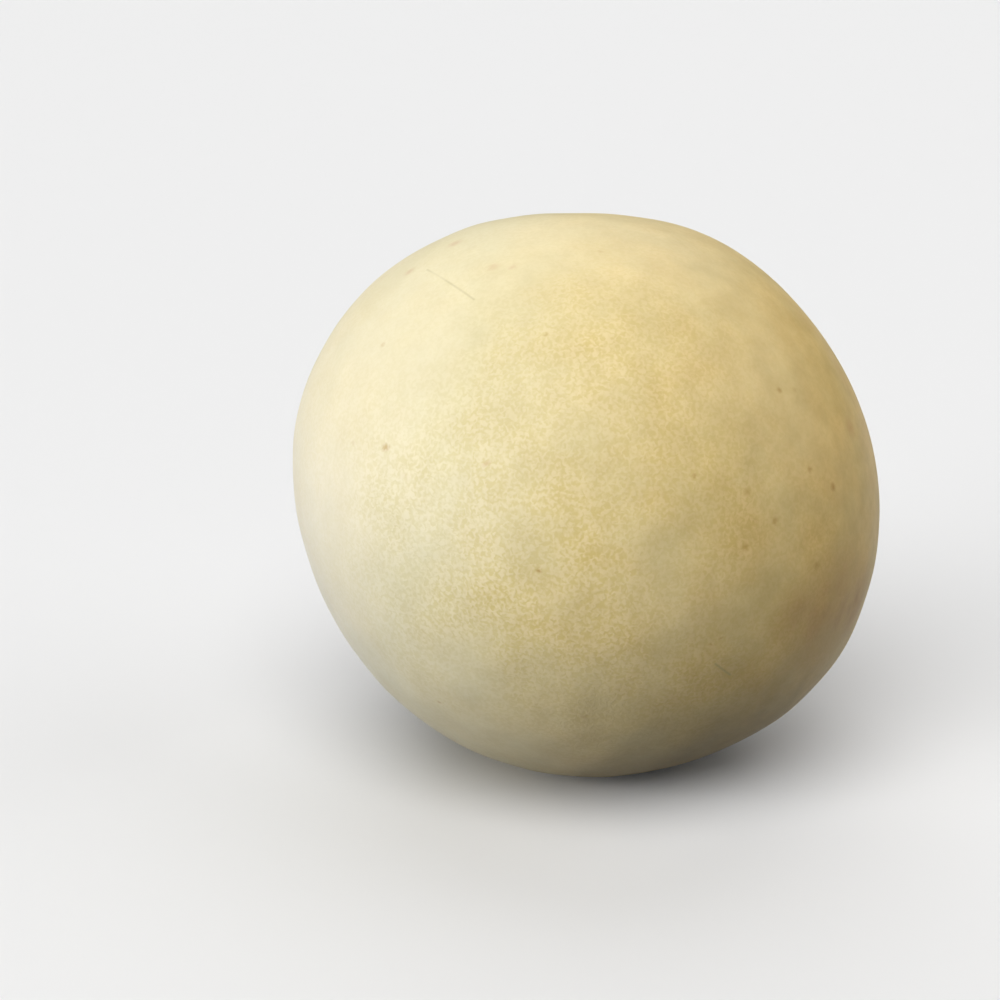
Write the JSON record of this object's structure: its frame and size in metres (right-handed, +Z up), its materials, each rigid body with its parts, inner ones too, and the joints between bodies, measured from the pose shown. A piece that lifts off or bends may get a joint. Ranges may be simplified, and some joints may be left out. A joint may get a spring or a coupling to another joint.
{
  "type": "melon",
  "caption": "Whole pale honeydew melon, slightly oval, lying tilted on its small flat spot, with a dished stem-end scar and a faint blossom scar.",
  "frame": {"origin": "middle of the flat spot that the melon rests on, on the surface it rests on", "axes": "+Z up; +X is the level direction towards which the blossom end leans, 28 degrees below level; the stem end is high on the -X side; the face that shows best looks along -Y"},
  "size_m": [0.1727, 0.1649, 0.1621],
  "materials": {
    "rind": "waxy cream to straw-yellow melon rind, soft satin, with faint worm-like netting, small brown specks and a corky scar at each end"
  },
  "bodies": {
    "root": {"melon": "rind"}
  },
  "joints": []
}
